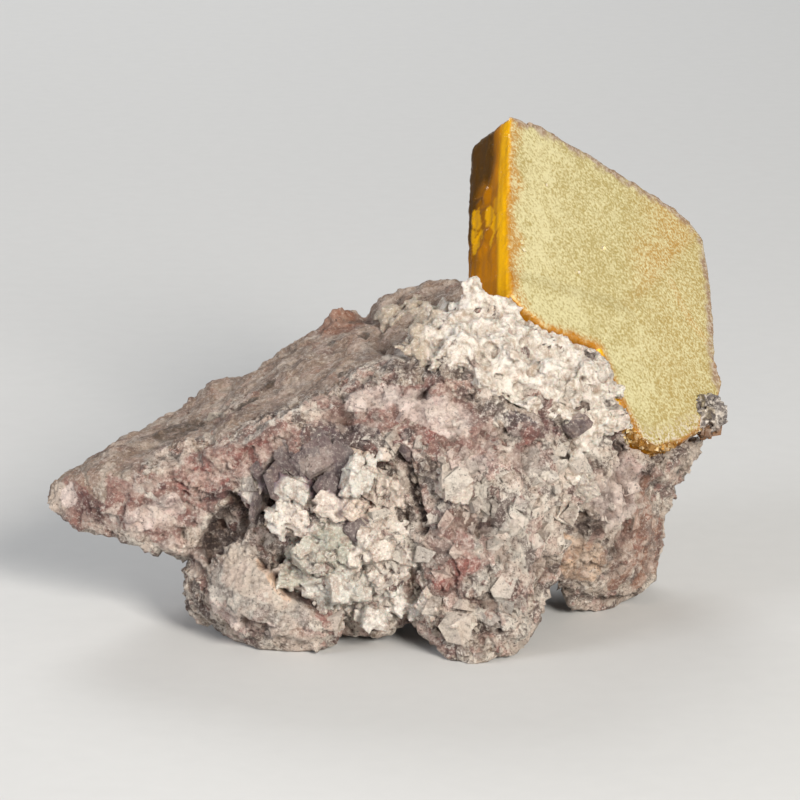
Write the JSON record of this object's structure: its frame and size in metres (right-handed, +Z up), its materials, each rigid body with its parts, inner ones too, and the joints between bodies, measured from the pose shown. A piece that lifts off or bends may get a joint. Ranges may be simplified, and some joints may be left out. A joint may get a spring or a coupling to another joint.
{
  "type": "wulfenite crystal on matrix",
  "caption": "Loose mineral specimen: a thick square honey-yellow crystal plate standing in a white calcite crust on a broken piece of stained host rock.",
  "frame": {"origin": "on the surface that the feet rest on, under the middle of the bounding box", "axes": "+Z up, +X to the viewer's right along the long side of the rock, +Y away from the viewer"},
  "size_m": [0.0638, 0.047, 0.0441],
  "materials": {
    "limestone": "matte",
    "calcite": "satin",
    "calcite_crust": "matte",
    "wulfenite": "satin",
    "druse": "gloss"
  },
  "bodies": {
    "root": {"host_rock": "limestone", "calcite_vein": "calcite", "calcite_crust": "calcite_crust", "wulfenite_plate": "wulfenite", "dark_druse": "druse", "calcite_rhomb_1": "calcite", "calcite_rhomb_2": "calcite", "calcite_rhomb_3": "calcite", "calcite_rhomb_4": "calcite", "calcite_rhomb_5": "calcite", "calcite_rhomb_6": "calcite"}
  },
  "joints": []
}
